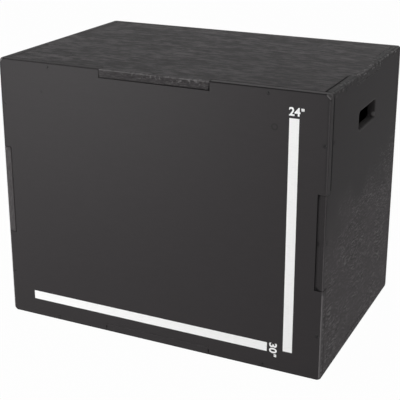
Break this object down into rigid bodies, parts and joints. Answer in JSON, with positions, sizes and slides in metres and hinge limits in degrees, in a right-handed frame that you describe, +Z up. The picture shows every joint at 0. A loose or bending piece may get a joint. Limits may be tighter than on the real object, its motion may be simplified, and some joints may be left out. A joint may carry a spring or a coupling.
{
  "type": "plyo box",
  "caption": "Black plywood plyometric jump box with finger-jointed, screwed edges, a hand hole in each side panel, an inner brace and white height marks on the front.",
  "frame": {"origin": "middle of the footprint, on the floor", "axes": "+Z up along the 24 in height, +X along the 30 in length, +Y to the back along the 20 in depth, so the marked front looks along -Y"},
  "size_m": [0.762, 0.508, 0.6096],
  "materials": {
    "black_plywood": "matte",
    "black_screws": "satin",
    "white_paint": "matte"
  },
  "bodies": {
    "root": {"front_panel": "black_plywood", "back_panel": "black_plywood", "left_panel": "black_plywood", "right_panel": "black_plywood", "top_panel": "black_plywood", "bottom_panel": "black_plywood", "inner_brace": "black_plywood", "front_top_screws": "black_screws", "front_bottom_screws": "black_screws", "front_left_screws": "black_screws", "front_right_screws": "black_screws", "back_top_screws": "black_screws", "back_bottom_screws": "black_screws", "back_left_screws": "black_screws", "back_right_screws": "black_screws", "left_top_screws": "black_screws", "left_bottom_screws": "black_screws", "right_top_screws": "black_screws", "right_bottom_screws": "black_screws"}
  },
  "joints": []
}
